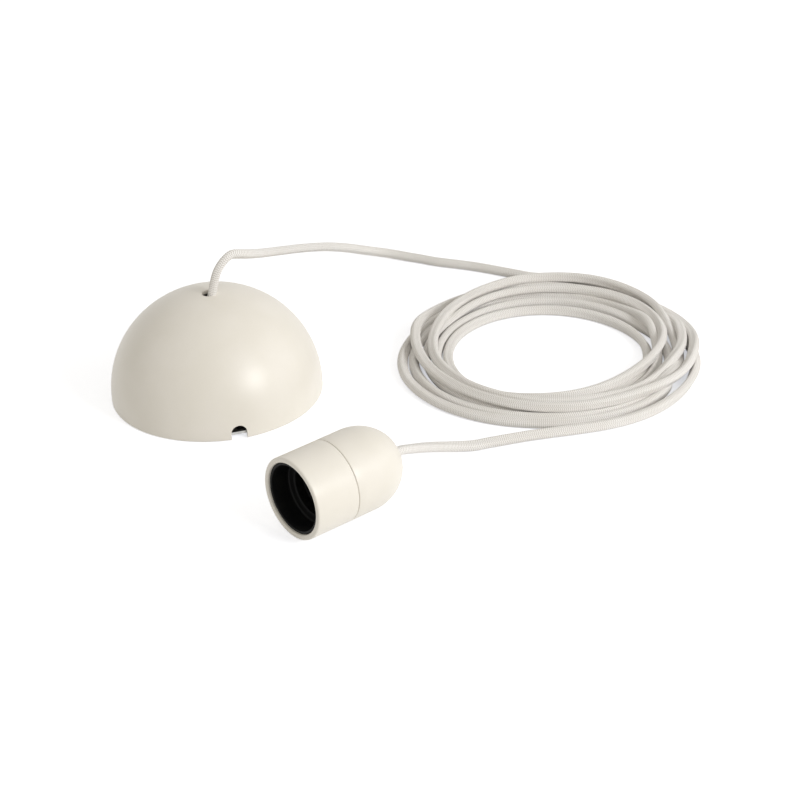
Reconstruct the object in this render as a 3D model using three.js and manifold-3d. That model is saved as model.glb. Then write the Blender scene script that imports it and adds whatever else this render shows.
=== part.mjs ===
// Pendant cord set: a half-round ceiling canopy, a textile cord laid in a loose coil, and an E27 lampholder.
// The set lies on a table: the canopy on its rim, the lampholder on its side. Millimetres, +Z up.
// The origin is under the middle of the canopy and the lampholder, on the table.
import * as THREE from "three";
import { mergeVertices } from "three/addons/utils/BufferGeometryUtils.js";
import Module from "manifold-3d";

const wasm = await Module();
wasm.setup();

// Clearances
const seatGap = 0.3; // between pieces that seat on each other
const cutMargin = 1; // how far a cutting tool runs past the face it cuts
const cordPlay = 0.35; // round the cord where it is clamped

// Cord
const cordDiameter = 5.5;
const coreDiameter = 2.0; // one insulated wire inside the cord
const coreSpread = 2.6; // between the middles of the two wires where they leave the cord

// Canopy
const canopyPlace = [3.8, 60.5];
const canopyDiameter = 120;
const canopyHeight = 62;
const canopySkirt = 3.4; // straight foot of the dome
const canopyWall = 2.5;
const cordHoleDiameter = 8;
const notchWidth = 9;
const notchHeight = 8.3;
const notchTurn = -24.65; // degrees round the canopy, from its -Y side
const rimRound = 0.5;

// Ceiling plate inside the canopy's rim
const plateRecess = 1.5; // underside above the canopy's rim
const plateThickness = 1.6;
const plateWallGap = 0.6; // round the plate, to the canopy's inner wall
const plateCableHole = 16;
const fixingSpacing = 64; // between the middles of the two slots for ceiling screws
const fixingSlotWidth = 5.2;
const fixingSlotLength = 15;

// Spring clips that hold the canopy on its plate
const clipCount = 3;
const clipFirstTurn = 60; // degrees from +X
const clipWidth = 9;
const clipThickness = 0.8;
const clipHeight = 17;
const clipFoot = 11;
const clipNose = 6; // from the clip's top end down to where it touches the canopy
const clipLean = 3; // from the clip's foot out to its nose
const clipLip = 2.2; // how far the top end bends back in
const clipBend = 1.2; // between the foot and the rising blade

// Rivets
const rivetHeadDiameter = 5;
const rivetHeadHeight = 1.2;
const rivetShankDiameter = 2.6;
const rivetHole = rivetShankDiameter + 2 * seatGap;

// Bridge that carries the cord clamp under the cord hole
const bridgeSpan = 50;
const bridgeHeight = 44; // top face above the canopy's rim
const bridgeWidth = 15;
const bridgeThickness = 1.5;
const bridgeFoot = 9;
const bridgeBend = 2.5;
const bridgeHole = 7.2; // for the cord

// Cord clamps: two jaws drawn together by two screws
const jawParting = 0.5; // from the cord's axis to each jaw's face
const canopyClamp = {
  length: 19, depth: 6, height: 8, screwDiameter: 3, screwHead: 5.2, screwHeadHeight: 2,
};
const holderClamp = {
  length: 16, depth: 5, height: 7, screwDiameter: 2, screwHead: 3.6, screwHeadHeight: 1.4,
};

// Terminal block on the ceiling plate
const blockLength = 24;
const blockDepth = 17;
const blockBase = 5;
const blockHeight = 14;
const blockOffset = 15; // from the cord's axis
const poleSpacing = 11;
const tubeOuter = 4.6;
const tubeBore = 2.8;
const tubeSpare = 1; // how far the brass tube sits back from each end of the block
const tubeCover = 3.4; // from the tube's top to the block's top
const barrelWall = 0.6; // between the two barrels and their half of the pole spacing
const chimneyWall = 1.2;
const terminalScrewDiameter = 2.6;
const terminalScrewHead = 3.6;
const terminalScrewPitch = 8; // between the two screws of one pole
const screwTipGap = 0.5; // short of the wire
const terminalHeadHeight = 1.5;
const terminalSlotWidth = 0.7;
const terminalSlotDepth = 0.7;
const terminalScrewTip = 0.5; // bevelled end

// Lampholder, measured along its axis from its mouth
const holderPlace = [-63.8, -97.5];
const holderDiameter = 46;
const holderLength = 68.4;
const holderWall = 3;
const sleeveLength = 26.8;
const capStraight = 16.4; // cylindrical part of the cap, before its round end
const mouthBevel = 0.7;
const seamBevel = 0.3;
const capCordHole = 7;

// Black insert inside the lampholder
const insertInset = 1.2; // front edge behind the mouth
const insertWall = 1.5;
const insertBevel = 0.4;
const insertLength = 33;
const recessDepth = 12.7;
const shoulderThickness = 2.5;
const lampBore = 27.2; // takes an E27 lamp cap
const boreWall = 1.8;
const leadIn = 0.8; // bevel at the bore's front edge

// Contacts and terminals behind the lamp bore
const carrierThickness = 4;
const carrierDiameter = 35;
const spigotHeight = 1.6;
const contactThickness = 0.6;
const centreContactWidth = 5.5;
const centreContactReach = 9; // from the axis out to its foot
const centreContactRise = 4;
const sideContactWidth = 5;
const sideContactFoot = 5;
const sideContactRise = 7;
const sideContactBend = 2;
const terminalSpacing = 10.4;
const terminalSize = [5, 7, 5.5]; // across, sideways and along the axis
const wireBore = 2.8;
const terminalFloor = 1.5; // material left under each wire hole

// Where the cord ends inside, above its clamp
const jacketTail = 1.6; // cord past the clamp
const capRoom = 5; // from the lampholder's cord clamp to the inside of the cap's end
const wireRun = 5; // from the lampholder's terminals to the cord's end
const wireGap = 0.4; // between the cord's end and each wire
const wireEntry = 3; // how far each wire goes into its terminal
const wireDrop = 9; // of the canopy's wires, below the cord's end and into their tubes
const wireBow = 5; // how far they bow away from the terminal block

// Coil and the cord's free stretches. The points follow the cord as it lies.
const coilPlace = [161.2, -46.6];
const coilOuter = 174;
const coilInner = 98;
const coilHeight = 17;
const coilShoulder = 8; // how far the coil's rounded edges reach in from its sides
const cordSides = 8;
const canopyLeadSteps = 36;
const holderLeadSteps = 16;
const canopyLeadRoute = [
  [3.8, 60.4, 50], [3.8, 60.1, 57], [3.9, 59.5, 63], [4.2, 58.8, 69], [5.1, 58.3, 74.4], [7.7, 57.7, 78.6],
  [11.6, 56.8, 81.5], [16.5, 55.9, 82.6], [22.2, 55.4, 81.9], [29.9, 56.8, 79.3], [40.1, 61, 75],
  [53.2, 68, 68.5], [69.8, 77.8, 60.1], [89.7, 90.5, 49.4], [111.7, 104.9, 38], [132, 116.9, 26.8],
  [150.7, 124.4, 16.8], [166.8, 126.4, 8.8], [180.1, 121.4, 4.2], [188.9, 109.2, 2.8], [196.4, 93.6, 2.8],
  [203.8, 79.6, 2.8], [210.6, 65.6, 2.8], [216.1, 51.5, 2.8], [221.1, 36.8, 2.8], [226.5, 23.4, 2.8],
  [229.6, 12, 2.8],
];
const holderLeadRoute = [
  [4.6, -97.5, 23], [10.2, -97.3, 22.4], [16.7, -96.3, 19.8], [25.6, -94, 15.6], [35.7, -91.5, 11],
  [45.4, -90.5, 7], [54.1, -91.4, 4.2], [62.6, -93.8, 2.9], [71.1, -96.6, 2.8], [83.3, -100.6, 2.8],
  [92.6, -104.2, 2.8],
];

// Sizes that follow from those above
const canopyRadius = canopyDiameter / 2;
const innerRadius = canopyRadius - canopyWall;
const innerHeight = canopyHeight - canopyWall;
const plateTop = plateRecess + plateThickness;
const plateRadius = innerRadius - plateWallGap;
const holderRadius = holderDiameter / 2;
const holderBore = holderRadius - holderWall;
const capStart = sleeveLength + seatGap;
const capRoundStart = capStart + capStraight;
const insertRadius = holderBore - seatGap;
const shoulderBack = recessDepth + shoulderThickness;
const boreRadius = lampBore / 2;
const clampGroove = cordDiameter / 2 + cordPlay;

// What the lampholder holds is stacked from the inside of its cap's end forwards, and the bore takes the rest
const clampStart = holderLength - holderWall - capRoom - holderClamp.height;
const terminalBack = clampStart - jacketTail - wireRun;
const carrierBack = terminalBack - terminalSize[2] - seatGap;
const carrierFront = carrierBack - carrierThickness;
const boreEnd = carrierFront - seatGap;

const finishes = {
  cream: { color: 0xe9e2d2, roughness: 0.45, metalness: 0 },
  black: { color: 0x0d0d0d, roughness: 0.55, metalness: 0 },
  textile: { color: 0xdcd8cf, roughness: 0.9, metalness: 0 },
  steel: { color: 0xb9bab8, roughness: 0.4, metalness: 0.9 },
  brass: { color: 0xc9a552, roughness: 0.35, metalness: 0.9 },
  whitePlastic: { color: 0xeeeeea, roughness: 0.6, metalness: 0 },
  brownWire: { color: 0x6b3f24, roughness: 0.6, metalness: 0 },
  blueWire: { color: 0x2f5f9e, roughness: 0.6, metalness: 0 },
};

const cordSet = new THREE.Group();

function addPiece(parent, name, geometry, finish, place = [0, 0, 0]) {
  const mesh = new THREE.Mesh(geometry, new THREE.MeshStandardMaterial(finishes[finish]));
  mesh.name = name;
  mesh.position.set(...place);
  parent.add(mesh);
  return mesh;
}

// Solids for cutting and joining

function toSolid(geometry) {
  const bare = geometry.clone();
  bare.deleteAttribute("normal");
  bare.deleteAttribute("uv");
  const merged = mergeVertices(bare, 1e-4);
  return new wasm.Manifold(new wasm.Mesh({
    numProp: 3,
    vertProperties: new Float32Array(merged.attributes.position.array),
    triVerts: new Uint32Array(merged.index.array),
  }));
}

function toGeometry(solid) {
  const mesh = solid.getMesh();
  const geometry = new THREE.BufferGeometry();
  geometry.setAttribute("position", new THREE.BufferAttribute(new Float32Array(mesh.vertProperties), 3));
  geometry.setIndex(new THREE.BufferAttribute(new Uint32Array(mesh.triVerts), 1));
  return geometry;
}

function cut(body, ...tools) {
  return toGeometry(tools.reduce((solid, tool) => solid.subtract(toSolid(tool)), toSolid(body)));
}

function join(...bodies) {
  return toGeometry(bodies.slice(1).reduce((solid, body) => solid.add(toSolid(body)), toSolid(bodies[0])));
}

// Basic forms, each standing on its local origin along +Z

function turned(profile, segments) {
  const points = profile.map(([radius, height]) => new THREE.Vector2(radius, height));
  return new THREE.LatheGeometry(points, segments).rotateX(Math.PI / 2);
}

function rod(diameter, length, segments = 24) {
  return new THREE.CylinderGeometry(diameter / 2, diameter / 2, length, segments)
    .rotateX(Math.PI / 2).translate(0, 0, length / 2);
}

// A rod that cuts a hole from the local origin up to a depth, and runs past both
function drill(diameter, depth, segments = 12) {
  return rod(diameter, depth + 2 * cutMargin, segments).translate(0, 0, -cutMargin);
}

function box(sizeX, sizeY, sizeZ) {
  return new THREE.BoxGeometry(sizeX, sizeY, sizeZ).translate(0, 0, sizeZ / 2);
}

function extruded(shape, depth, curveSegments = 12) {
  return new THREE.ExtrudeGeometry(shape, { depth, bevelEnabled: false, curveSegments });
}

function slotShape(length, width) {
  const half = (length - width) / 2;
  const shape = new THREE.Shape();
  shape.absarc(half, 0, width / 2, -Math.PI / 2, Math.PI / 2);
  shape.absarc(-half, 0, width / 2, Math.PI / 2, 1.5 * Math.PI);
  shape.closePath();
  return shape;
}

// Sheet metal bent along a line of points in the XZ plane, to the left of its direction of travel
function bentStrip(points, thickness, width) {
  const line = points.map(([x, z]) => new THREE.Vector2(x, z));
  const left = line.map((point, index) => {
    const before = line[Math.max(index - 1, 0)];
    const after = line[Math.min(index + 1, line.length - 1)];
    const incoming = index > 0 ? point.clone().sub(before).normalize() : null;
    const outgoing = index < line.length - 1 ? after.clone().sub(point).normalize() : null;
    const first = incoming ?? outgoing;
    const second = outgoing ?? incoming;
    const mitre = new THREE.Vector2(-first.y - second.y, first.x + second.x).normalize();
    const reach = thickness / (mitre.x * -first.y + mitre.y * first.x);
    return point.clone().addScaledVector(mitre, reach);
  });
  const shape = new THREE.Shape([...line, ...left.reverse()]);
  return extruded(shape, width).rotateX(Math.PI / 2).translate(0, width / 2, 0);
}

function tubeAlong(points, diameter, sides, steps) {
  const path = points.map((point) => new THREE.Vector3(...point));
  const curve = new THREE.CatmullRomCurve3(path, false, "centripetal");
  const shape = new THREE.Shape();
  for (let side = 0; side < sides; side += 1) {
    const angle = (side / sides) * 2 * Math.PI;
    const corner = [(diameter / 2) * Math.cos(angle), (diameter / 2) * Math.sin(angle)];
    if (side === 0) shape.moveTo(...corner);
    else shape.lineTo(...corner);
  }
  shape.closePath();
  return new THREE.ExtrudeGeometry(shape, { extrudePath: curve, steps, bevelEnabled: false });
}

// Half-round profile from the rim up to a hole at the top; the dome's own radius at a height
function domeArc(radius, straight, height, holeRadius, steps) {
  const rise = height - straight;
  const last = Math.acos(holeRadius / radius);
  return Array.from({ length: steps + 1 }, (_, step) => {
    const angle = (last * step) / steps;
    return [radius * Math.cos(angle), straight + rise * Math.sin(angle)];
  });
}

function domeRadiusAt(height, radius, straight, fullHeight) {
  const share = Math.max(height - straight, 0) / (fullHeight - straight);
  return radius * Math.sqrt(1 - share * share);
}

// Canopy

function canopyShell() {
  const hole = cordHoleDiameter / 2;
  const outside = domeArc(canopyRadius, canopySkirt, canopyHeight, hole, 12);
  const inside = domeArc(innerRadius, canopySkirt, innerHeight, hole, 7).reverse();
  const profile = [
    [canopyRadius - rimRound, 0], [canopyRadius, rimRound], ...outside,
    ...inside, [innerRadius, rimRound], [innerRadius + rimRound, 0], [canopyRadius - rimRound, 0],
  ];
  const notch = new THREE.Shape();
  const half = notchWidth / 2;
  notch.moveTo(-half, -cutMargin);
  notch.lineTo(half, -cutMargin);
  notch.absarc(0, notchHeight - half, half, 0, Math.PI);
  notch.closePath();
  const inner = innerRadius - 3 * cutMargin;
  const cutter = extruded(notch, canopyRadius + cutMargin - inner, 8).rotateX(Math.PI / 2)
    .translate(0, -inner, 0)
    .rotateZ(THREE.MathUtils.degToRad(notchTurn));
  return cut(turned(profile, 56), cutter);
}

function ceilingPlate() {
  const shape = new THREE.Shape().absarc(0, 0, plateRadius, 0, 2 * Math.PI);
  const cableHole = new THREE.Path().absarc(0, 0, plateCableHole / 2, 0, 2 * Math.PI, true);
  shape.holes.push(cableHole);
  const disc = extruded(shape, plateThickness, 40);
  const slot = slotShape(fixingSlotLength, fixingSlotWidth);
  const slots = [-1, 1].map((side) => extruded(slot, plateThickness + 2 * cutMargin, 6)
    .rotateZ(Math.PI / 2).translate(0, (side * fixingSpacing) / 2, -cutMargin));
  const rivetHoles = rivetPlaces().map(([x, y]) => drill(rivetHole, plateThickness).translate(x, y, 0));
  return cut(disc, ...slots, ...rivetHoles);
}

function clipTurns() {
  const pitch = 360 / clipCount;
  const turns = Array.from({ length: clipCount }, (_, clip) => clipFirstTurn + clip * pitch);
  return turns.map((turn) => THREE.MathUtils.degToRad(turn));
}

// The clip's nose presses on the canopy's inner wall
function clipNoseRadius() {
  const noseHeight = plateTop + clipHeight - clipNose;
  return domeRadiusAt(noseHeight + clipNose / 2, innerRadius, canopySkirt, innerHeight) - seatGap;
}

function clipFootRadius() {
  return clipNoseRadius() - clipLean - clipFoot / 2;
}

function bridgeFootMiddle() {
  return (bridgeSpan + bridgeFoot) / 2;
}

function rivetPlaces() {
  const radius = clipFootRadius();
  const feet = clipTurns().map((turn) => [radius * Math.cos(turn), radius * Math.sin(turn)]);
  return [...feet, [-bridgeFootMiddle(), 0], [bridgeFootMiddle(), 0]];
}

function springClip() {
  const nose = clipNoseRadius();
  const heel = nose - clipLean;
  const base = clipThickness;
  const strip = bentStrip([
    [heel - clipFoot, base], [heel - clipBend, base], [heel - clipBend / 3, base + clipBend / 2],
    [nose - clipThickness, clipHeight - clipNose], [nose - clipThickness - clipLip, clipHeight],
  ], -clipThickness, clipWidth);
  return cut(strip, drill(rivetHole, clipThickness).translate(clipFootRadius(), 0, 0));
}

function rivet(grip) {
  const head = rivetHeadDiameter / 2;
  const shank = rivetShankDiameter / 2;
  return turned([
    [0, -grip], [shank, -grip], [shank, 0], [head, 0], [head * 0.93, rivetHeadHeight * 0.55],
    [head * 0.6, rivetHeadHeight * 0.92], [0, rivetHeadHeight],
  ], 12);
}

function bridge() {
  const half = bridgeSpan / 2;
  const top = bridgeHeight - plateTop;
  const side = half - bridgeThickness;
  const under = top - bridgeThickness;
  const strap = bentStrip([
    [-half - bridgeFoot, 0], [-side, 0], [-side, under - bridgeBend], [-side + bridgeBend, under],
    [side - bridgeBend, under], [side, under - bridgeBend], [side, 0], [half + bridgeFoot, 0],
  ], bridgeThickness, bridgeWidth);
  const cordHole = drill(bridgeHole, bridgeThickness, 20).translate(0, 0, under);
  const rivetHoles = [-1, 1].map((end) => drill(rivetHole, bridgeThickness)
    .translate(end * bridgeFootMiddle(), 0, 0));
  return cut(strap, cordHole, ...rivetHoles);
}

// Clamp jaws stand on their local origin; the cord runs through them along Z
function clampScrewOffset(clamp) {
  return (clampGroove + clamp.length / 2) / 2;
}

function clampJaw(clamp, side) {
  const body = box(clamp.length, clamp.depth, clamp.height)
    .translate(0, side * (jawParting + clamp.depth / 2), 0);
  const groove = drill(2 * clampGroove, clamp.height, 20);
  const reach = jawParting + clamp.depth;
  const holes = [-1, 1].map((end) => drill(clamp.screwDiameter + 2 * seatGap, 2 * reach)
    .rotateX(-Math.PI / 2)
    .translate(end * clampScrewOffset(clamp), -reach, clamp.height / 2));
  return cut(body, groove, ...holes);
}

function clampScrew(clamp) {
  const reach = 2 * (clamp.depth + jawParting);
  const shank = clamp.screwDiameter / 2;
  const head = clamp.screwHead / 2;
  const screw = turned([
    [0, -reach], [shank, -reach], [shank, 0], [head, 0], [head, clamp.screwHeadHeight * 0.6],
    [head * 0.75, clamp.screwHeadHeight], [0, clamp.screwHeadHeight],
  ], 14);
  const driveSlot = box(clamp.screwHead + cutMargin, clamp.screwHead * 0.16, clamp.screwHeadHeight)
    .translate(0, 0, clamp.screwHeadHeight * 0.5);
  return cut(screw, driveSlot).rotateX(Math.PI / 2);
}

function addClamp(parent, prefix, clamp, height) {
  addPiece(parent, `${prefix}_jaw_front`, clampJaw(clamp, -1), "whitePlastic", [0, 0, height]);
  addPiece(parent, `${prefix}_jaw_back`, clampJaw(clamp, 1), "whitePlastic", [0, 0, height]);
  [-1, 1].forEach((end, index) => {
    const seat = -jawParting - clamp.depth - seatGap;
    const place = [end * clampScrewOffset(clamp), seat, height + clamp.height / 2];
    addPiece(parent, `${prefix}_screw_${index + 1}`, clampScrew(clamp), "steel", place);
  });
}

// Terminal block: a pole is a rounded barrel with a brass tube through it and two screws from above
function tubeAxisHeight() {
  return blockHeight - tubeOuter / 2 - tubeCover;
}

function terminalBlock() {
  const half = poleSpacing / 2;
  const barrel = poleSpacing / 2 - barrelWall;
  const axis = tubeAxisHeight();
  const profile = new THREE.Shape();
  profile.moveTo(-blockLength / 2, 0);
  profile.lineTo(blockLength / 2, 0);
  profile.lineTo(blockLength / 2, blockBase);
  profile.lineTo(half + barrel, blockBase);
  profile.absarc(half, axis, barrel, 0, Math.PI);
  profile.lineTo(half - barrel, blockBase);
  profile.lineTo(-half + barrel, blockBase);
  profile.absarc(-half, axis, barrel, 0, Math.PI);
  profile.lineTo(-half - barrel, blockBase);
  profile.lineTo(-blockLength / 2, blockBase);
  profile.closePath();
  const body = extruded(profile, blockDepth, 10).rotateX(Math.PI / 2).translate(0, blockDepth / 2, 0);
  const pitch = terminalScrewPitch / 2;
  const screwPlaces = [[-half, -pitch], [-half, pitch], [half, -pitch], [half, pitch]];
  const chimney = terminalScrewHead + 2 * chimneyWall;
  const chimneys = screwPlaces.map(([x, y]) => rod(chimney, blockHeight - axis, 12).translate(x, y, axis));
  const well = terminalScrewHead + 2 * seatGap;
  const wells = screwPlaces.map(([x, y]) => rod(well, blockHeight, 12).translate(x, y, axis));
  const bores = [-1, 1].map((pole) => drill(tubeOuter + 2 * seatGap, blockDepth, 16)
    .rotateX(-Math.PI / 2)
    .translate(pole * half, -blockDepth / 2, axis));
  return cut(join(body, ...chimneys), ...bores, ...wells);
}

function terminalTube() {
  const length = blockDepth - 2 * tubeSpare;
  const tube = rod(tubeOuter, length, 16).rotateX(-Math.PI / 2).translate(0, -length / 2, 0);
  const bore = drill(tubeBore, length).rotateX(-Math.PI / 2).translate(0, -length / 2, 0);
  const screwHoles = [-1, 1].map((end) => rod(terminalScrewDiameter + 2 * seatGap, tubeOuter, 12)
    .translate(0, (end * terminalScrewPitch) / 2, 0));
  return cut(tube, bore, ...screwHoles);
}

function terminalScrew(reach) {
  const shank = terminalScrewDiameter / 2;
  const head = terminalScrewHead / 2;
  const screw = turned([
    [0, -reach], [shank * 0.7, -reach], [shank, terminalScrewTip - reach], [shank, 0], [head, 0],
    [head, terminalHeadHeight], [0, terminalHeadHeight],
  ], 12);
  const driveSlot = box(terminalScrewHead + cutMargin, terminalSlotWidth, terminalHeadHeight)
    .translate(0, 0, terminalHeadHeight - terminalSlotDepth);
  return cut(screw, driveSlot);
}

function addTerminalBlock(parent) {
  const block = new THREE.Group();
  block.position.set(0, -blockOffset, plateTop + seatGap);
  parent.add(block);
  addPiece(block, "terminal_block", terminalBlock(), "whitePlastic");
  const axis = tubeAxisHeight();
  const reach = tubeOuter / 2 - screwTipGap;
  [-1, 1].forEach((pole, poleIndex) => {
    const side = (pole * poleSpacing) / 2;
    addPiece(block, `terminal_tube_${poleIndex + 1}`, terminalTube(), "brass", [side, 0, axis]);
    [-1, 1].forEach((end, endIndex) => {
      const place = [side, (end * terminalScrewPitch) / 2, axis + tubeOuter / 2 + seatGap];
      addPiece(block, `terminal_screw_${2 * poleIndex + endIndex + 1}`, terminalScrew(reach), "steel", place);
    });
  });
}

// The two insulated wires from the cord's end into the block's brass tubes
function addCanopyWires(parent) {
  const start = bridgeHeight - bridgeThickness - jacketTail - wireGap;
  const axis = plateTop + seatGap + tubeAxisHeight();
  const mouth = -blockOffset + blockDepth / 2;
  [-1, 1].forEach((side, index) => {
    const pole = (side * poleSpacing) / 2;
    const core = (side * coreSpread) / 2;
    const route = [
      [core, 0, start], [core, 0, start - wireDrop / 3], [core * 1.7, wireBow * 0.36, start - wireDrop],
      [pole * 0.75, wireBow, axis + wireDrop], [pole * 0.97, wireBow * 0.8, axis + wireDrop / 3],
      [pole, wireBow * 0.1, axis + wireBow * 0.04], [pole, mouth, axis], [pole, mouth - wireEntry, axis],
    ];
    const colour = ["brown", "blue"][index];
    addPiece(parent, `canopy_wire_${colour}`, tubeAlong(route, coreDiameter, 8, 14), `${colour}Wire`);
  });
}

function addCanopy(parent) {
  const canopy = new THREE.Group();
  canopy.position.set(...canopyPlace, 0);
  parent.add(canopy);
  addPiece(canopy, "canopy_shell", canopyShell(), "cream");
  addPiece(canopy, "ceiling_plate", ceilingPlate(), "steel", [0, 0, plateRecess]);
  clipTurns().forEach((turn, index) => {
    const clip = addPiece(canopy, `spring_clip_${index + 1}`, springClip(), "steel", [0, 0, plateTop]);
    clip.rotation.z = turn;
    const height = plateTop + clipThickness;
    const place = [clipFootRadius() * Math.cos(turn), clipFootRadius() * Math.sin(turn), height];
    addPiece(canopy, `clip_rivet_${index + 1}`, rivet(clipThickness + plateThickness), "steel", place);
  });
  addPiece(canopy, "clamp_bridge", bridge(), "steel", [0, 0, plateTop]);
  [-1, 1].forEach((side, index) => {
    const place = [side * bridgeFootMiddle(), 0, plateTop + bridgeThickness];
    addPiece(canopy, `bridge_rivet_${index + 1}`, rivet(bridgeThickness + plateThickness), "steel", place);
  });
  addClamp(canopy, "canopy_clamp", canopyClamp, bridgeHeight);
  addTerminalBlock(canopy);
  addCanopyWires(canopy);
}

// Lampholder: each piece is built round +Z, from the mouth at zero, and the group lays that axis along +X

function holderSleeve() {
  return turned([
    [holderBore, mouthBevel], [holderBore + mouthBevel, 0], [holderRadius - mouthBevel, 0],
    [holderRadius, mouthBevel], [holderRadius, sleeveLength - seamBevel],
    [holderRadius - seamBevel, sleeveLength], [holderBore, sleeveLength], [holderBore, mouthBevel],
  ], 44);
}

function holderCap() {
  const hole = capCordHole / 2;
  const outside = domeArc(holderRadius, capRoundStart, holderLength, hole, 9);
  const inside = domeArc(holderBore, capRoundStart, holderLength - holderWall, hole, 5).reverse();
  return turned([
    [holderBore, capStart], [holderRadius - seamBevel, capStart], [holderRadius, capStart + seamBevel],
    ...outside, ...inside, [holderBore, capStart],
  ], 44);
}

// Black insert: a collar round the lamp's neck, a shoulder, and the bore that the lamp screws into
function lampInsert() {
  const neck = insertRadius - insertWall;
  const tube = boreRadius + boreWall;
  return turned([
    [neck + insertBevel, insertInset], [insertRadius, insertInset], [insertRadius, insertLength],
    [neck, insertLength], [neck, shoulderBack], [tube, shoulderBack], [tube, boreEnd], [boreRadius, boreEnd],
    [boreRadius, recessDepth + leadIn], [boreRadius + leadIn, recessDepth], [neck, recessDepth],
    [neck, insertInset + insertBevel], [neck + insertBevel, insertInset],
  ], 44);
}

function contactCarrier() {
  const disc = rod(carrierDiameter, carrierThickness, 32);
  const spigot = rod(lampBore - 2 * seatGap, spigotHeight, 32).translate(0, 0, -spigotHeight);
  return join(disc, spigot);
}

function centreContact() {
  const reach = centreContactReach;
  const rise = centreContactRise;
  return bentStrip([
    [reach, 0], [reach * 0.5, 0], [reach * 0.28, -rise], [-reach * 0.22, -rise * 1.1],
    [-reach * 0.44, -rise * 0.8],
  ], contactThickness, centreContactWidth);
}

function sideContact() {
  const wall = boreRadius - 2 * seatGap;
  return bentStrip([
    [sideContactFoot - wall, 0], [-wall, 0], [-wall, sideContactBend - sideContactRise],
    [sideContactBend / 2 - wall, -sideContactRise],
  ], contactThickness, sideContactWidth);
}

function holderTerminal() {
  const [across, sideways, along] = terminalSize;
  const block = box(across, sideways, along);
  const wireHole = rod(wireBore, along, 14).translate(0, 0, terminalFloor);
  const screwHole = rod(terminalScrewDiameter + 2 * seatGap, sideways, 12).rotateX(-Math.PI / 2)
    .translate(0, -sideways, along / 2);
  return cut(block, wireHole, screwHole);
}

function addHolderWires(parent) {
  const start = clampStart - jacketTail - wireGap;
  const run = start - terminalBack;
  [-1, 1].forEach((side, index) => {
    const core = (side * coreSpread) / 2;
    const pole = (side * terminalSpacing) / 2;
    const route = [
      [core, 0, start], [core * 1.3, 0, start - run * 0.22], [pole * 0.8, 0, start - run * 0.74],
      [pole, 0, terminalBack], [pole, 0, terminalBack - wireEntry],
    ];
    const colour = ["brown", "blue"][index];
    addPiece(parent, `holder_wire_${colour}`, tubeAlong(route, coreDiameter, 8, 8), `${colour}Wire`);
  });
}

function addHolder(parent) {
  const holder = new THREE.Group();
  holder.position.set(...holderPlace, holderRadius);
  holder.rotation.y = Math.PI / 2;
  parent.add(holder);
  addPiece(holder, "holder_sleeve", holderSleeve(), "cream");
  addPiece(holder, "holder_cap", holderCap(), "cream");
  addPiece(holder, "lamp_insert", lampInsert(), "black");
  addPiece(holder, "contact_carrier", contactCarrier(), "whitePlastic", [0, 0, carrierFront]);
  const contactSeat = carrierFront - spigotHeight - seatGap;
  addPiece(holder, "centre_contact", centreContact(), "brass", [0, 0, contactSeat]);
  addPiece(holder, "side_contact", sideContact(), "brass", [0, 0, contactSeat]);
  [-1, 1].forEach((side, index) => {
    const terminal = [(side * terminalSpacing) / 2, 0, carrierBack + seatGap];
    addPiece(holder, `holder_terminal_${index + 1}`, holderTerminal(), "brass", terminal);
    const reach = (terminalSize[1] - wireBore) / 2 - screwTipGap;
    const screw = addPiece(holder, `holder_terminal_screw_${index + 1}`, terminalScrew(reach), "steel",
      [terminal[0], -terminalSize[1] / 2 - seatGap, terminal[2] + terminalSize[2] / 2]);
    screw.rotation.x = Math.PI / 2;
  });
  addClamp(holder, "holder_clamp", holderClamp, clampStart);
  addHolderWires(holder);
}

// The cord: a plain tube along each free stretch, and one ring that holds the coil's turns

function coilRing() {
  const outer = coilOuter / 2;
  const inner = coilInner / 2;
  return turned([
    [inner, 0], [outer, 0], [outer, coilHeight * 0.55], [outer - coilShoulder * 0.4, coilHeight * 0.85],
    [outer - coilShoulder, coilHeight], [inner + coilShoulder, coilHeight],
    [inner + coilShoulder * 0.25, coilHeight * 0.75], [inner, coilHeight * 0.45], [inner, 0],
  ], 40);
}

function addCord(parent) {
  const [mouthX, mouthY] = holderPlace;
  const canopyEnd = [...canopyPlace, bridgeHeight - bridgeThickness - jacketTail];
  const holderEnd = [mouthX + clampStart - jacketTail, mouthY, holderRadius];
  const holderInside = [mouthX + holderLength - holderWall, mouthY, holderRadius];
  const canopyLead = tubeAlong([canopyEnd, ...canopyLeadRoute], cordDiameter, cordSides, canopyLeadSteps);
  const holderLead = tubeAlong([holderEnd, holderInside, ...holderLeadRoute], cordDiameter, cordSides,
    holderLeadSteps);
  addPiece(parent, "cord_lead_canopy", canopyLead, "textile");
  addPiece(parent, "cord_lead_holder", holderLead, "textile");
  addPiece(parent, "cord_coil", coilRing(), "textile", [...coilPlace, 0]);
}

addCanopy(cordSet);
addHolder(cordSet);
addCord(cordSet);

export default cordSet;
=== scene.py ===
import math

import bpy
import numpy as np
from mathutils import Matrix, Vector


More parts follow.
